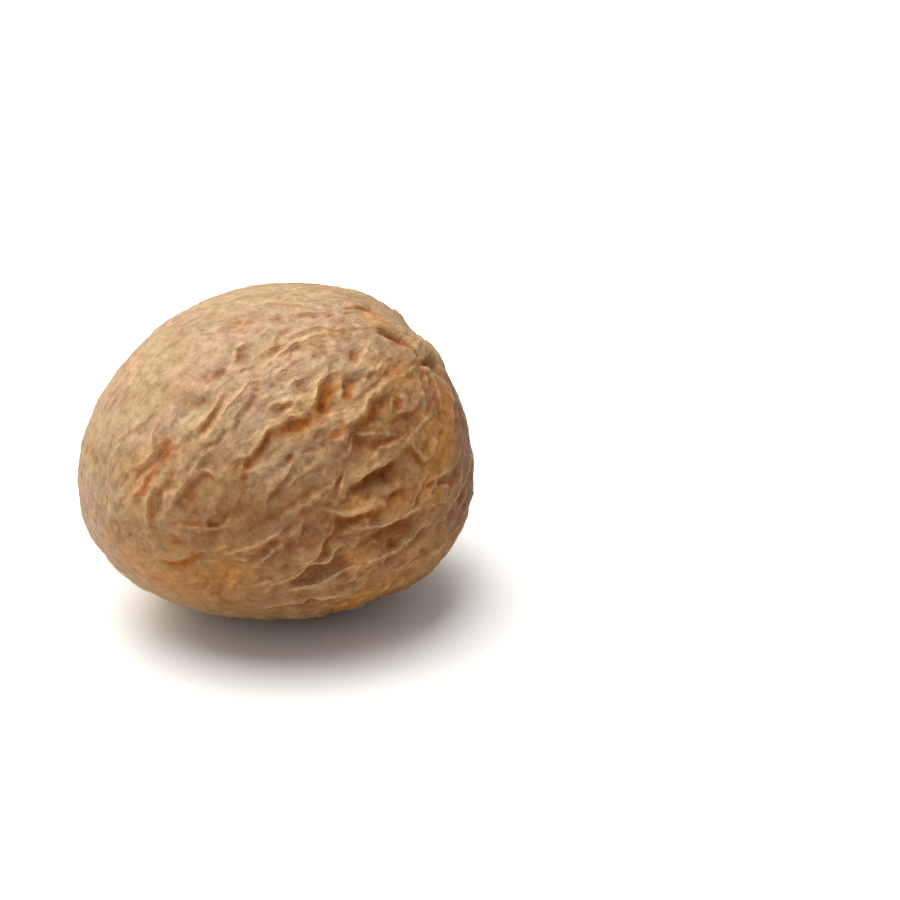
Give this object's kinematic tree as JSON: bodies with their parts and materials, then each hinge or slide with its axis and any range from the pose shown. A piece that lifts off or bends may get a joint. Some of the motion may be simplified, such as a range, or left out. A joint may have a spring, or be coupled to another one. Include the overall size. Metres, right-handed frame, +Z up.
{
  "type": "whole nutmeg",
  "caption": "One whole dried nutmeg lying on its side: an egg-shaped seed with a net of raised wrinkles, a scar at one end and a pit at the other.",
  "frame": {"origin": "centre of the seed's footprint box, on the surface it lies on", "axes": "+Z up; +X along the seed's long side, towards the puckered end; the seed's own axis rises towards +X"},
  "size_m": [0.0244, 0.0214, 0.0195],
  "materials": {
    "seed_coat": "dry, wrinkled seed coat, satin on the ridges and dull in the hollows"
  },
  "bodies": {
    "root": {"nutmeg": "seed_coat"}
  },
  "joints": []
}
